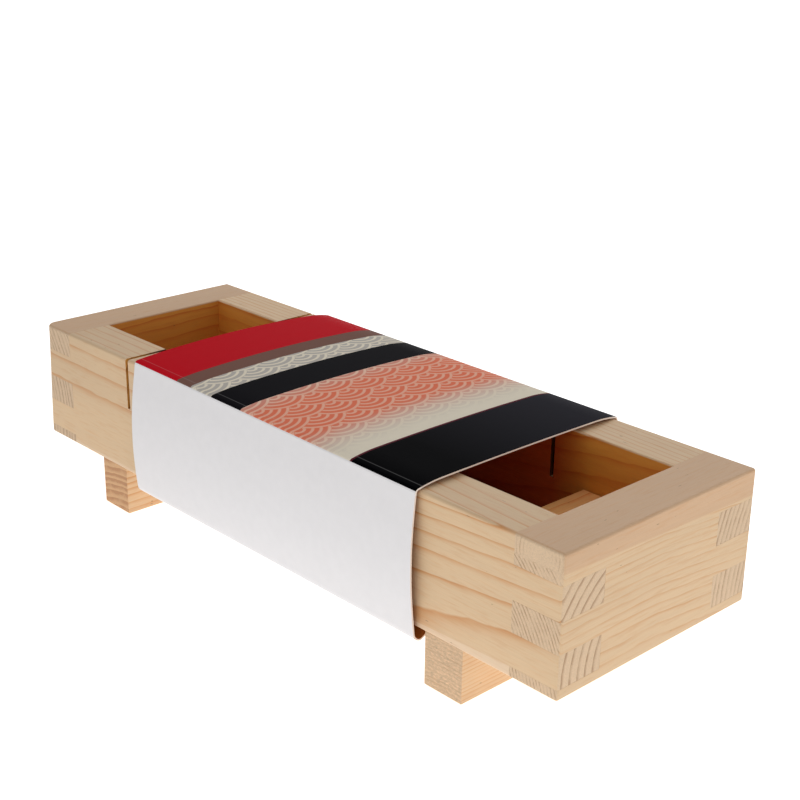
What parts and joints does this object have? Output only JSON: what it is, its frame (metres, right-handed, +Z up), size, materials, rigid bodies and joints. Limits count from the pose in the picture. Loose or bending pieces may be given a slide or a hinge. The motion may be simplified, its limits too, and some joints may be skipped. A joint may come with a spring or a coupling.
{
  "type": "sushi rice mold press",
  "caption": "Wooden box press for pressed rice: finger-jointed frame with knife kerfs, base on two feet, press lid with battens, printed card sleeve.",
  "frame": {"origin": "on the table under the middle of the press, in the plane of the feet's undersides", "axes": "+X along the press, +Y across it towards the rear side board, +Z up out of the frame's mouth"},
  "size_m": [0.225, 0.0798, 0.0566],
  "materials": {
    "frame_pine": "sanded, unfinished pine",
    "base_pine": "sanded, unfinished pine",
    "lid_pine": "sanded, unfinished pine",
    "brad_steel": "bright wire brads",
    "printed_card": "white coated card, printed on the top"
  },
  "bodies": {
    "base": {"base_plate": "base_pine", "base_foot_left": "base_pine", "base_foot_right": "base_pine", "base_brads": "brad_steel"},
    "frame": {"side_board_front": "frame_pine", "side_board_rear": "frame_pine", "end_board_left": "frame_pine", "end_board_right": "frame_pine"},
    "lid": {"lid_plate": "lid_pine", "lid_handle_left": "lid_pine", "lid_handle_right": "lid_pine", "lid_brads": "brad_steel"},
    "sleeve": {"card_sleeve": "printed_card"}
  },
  "joints": [
    {"name": "frame_lift", "type": "slide", "parent": "base", "child": "frame", "axis": [0, 0, 1], "range_m": [0, 0.06]},
    {"name": "lid_lift", "type": "slide", "parent": "base", "child": "lid", "axis": [0, 0, 1], "range_m": [0, 0.015]},
    {"name": "sleeve_slide", "type": "slide", "parent": "frame", "child": "sleeve", "axis": [1, 0, 0], "range_m": [-0.0097, 0.0015]}
  ]
}
